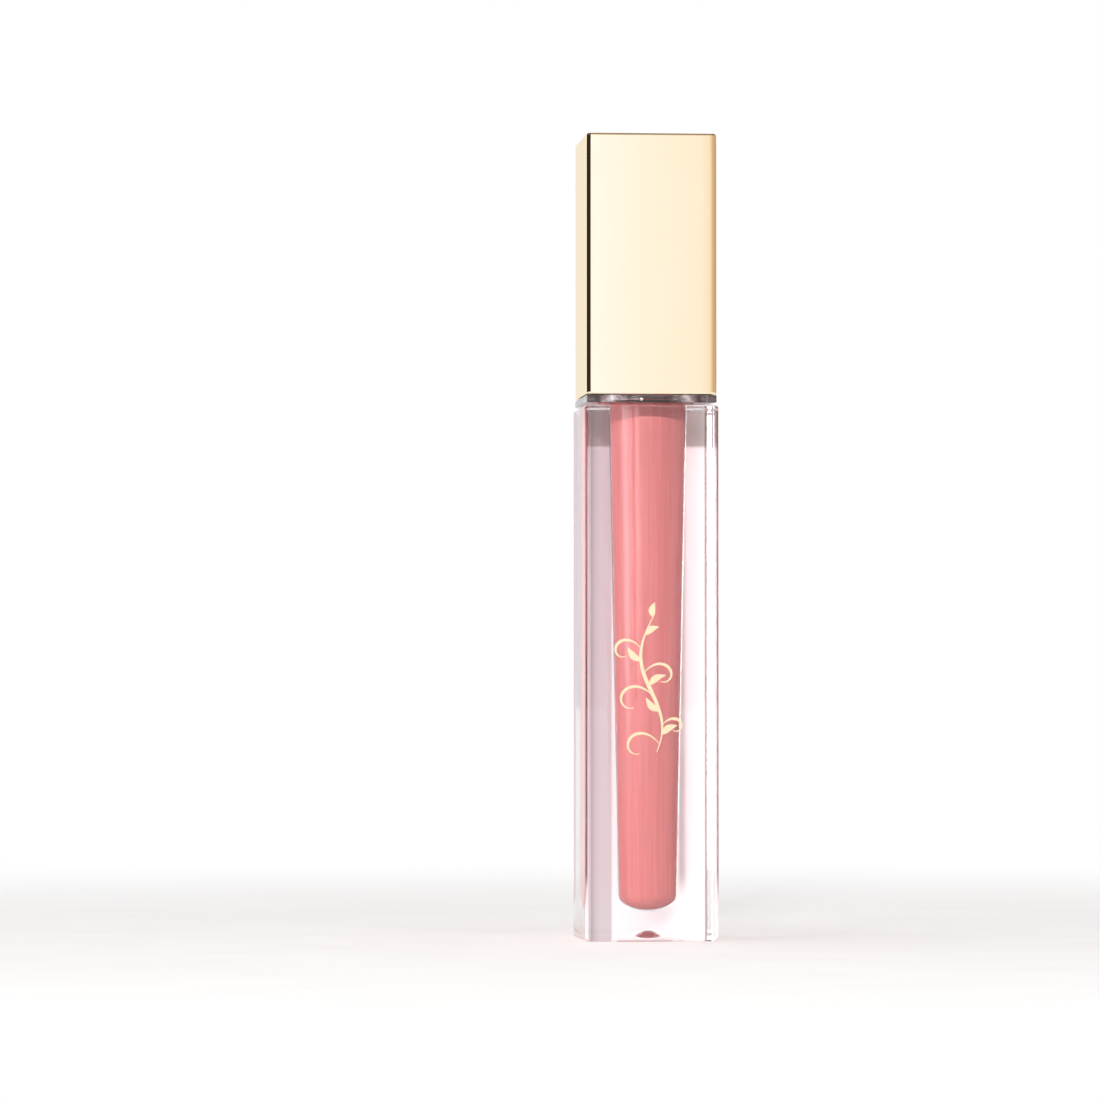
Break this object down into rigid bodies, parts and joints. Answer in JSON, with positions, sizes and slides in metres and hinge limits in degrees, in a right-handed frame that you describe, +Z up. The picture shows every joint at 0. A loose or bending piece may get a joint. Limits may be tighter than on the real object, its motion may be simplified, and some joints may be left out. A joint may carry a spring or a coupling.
{
  "type": "lip gloss tube",
  "caption": "Square clear-walled gloss tube with a threaded neck, closed by a square gold cap that carries a flocked applicator wand.",
  "frame": {"origin": "centre of the base, on the surface that the tube stands on", "axes": "+Z up along the tube towards the cap, -Y out of the front face, +X to the right seen from the front"},
  "size_m": [0.0168, 0.0168, 0.101],
  "materials": {
    "clear_bottle": "polished",
    "clear_cap": "polished",
    "clear_stem": "polished",
    "gloss": "gloss",
    "wiper_plastic": "satin",
    "gasket_foam": "matte",
    "gold_shell": "polished",
    "weight_steel": "satin",
    "core_plastic": "satin",
    "flock": "matte"
  },
  "bodies": {
    "bottle": {"bottle": "clear_bottle", "wiper": "wiper_plastic", "gloss_fill": "gloss"},
    "gasket": {"neck_gasket": "gasket_foam"},
    "weight": {"cap_weight": "weight_steel"},
    "cap": {"inner_cap": "clear_cap", "cap_shell": "gold_shell", "stem": "clear_stem", "tip_core": "core_plastic", "flocking": "flock"}
  },
  "joints": [
    {"name": "wand_withdraw", "type": "slide", "parent": "bottle", "child": "gasket", "axis": [0, 0, 1], "range_m": [0, 0.08]},
    {"name": "thread_rise", "type": "slide", "parent": "gasket", "child": "weight", "axis": [0, 0, 1], "range_m": [0, 0.003]},
    {"name": "cap_turn", "type": "hinge", "parent": "weight", "child": "cap", "pos_m": [0, 0, 0.0673], "axis": [0, 0, 1], "range_deg": [0, 540]}
  ],
  "couplings": [
    {"joint": "thread_rise", "follows": "cap_turn", "m_per_rad": 0.0003183}
  ]
}
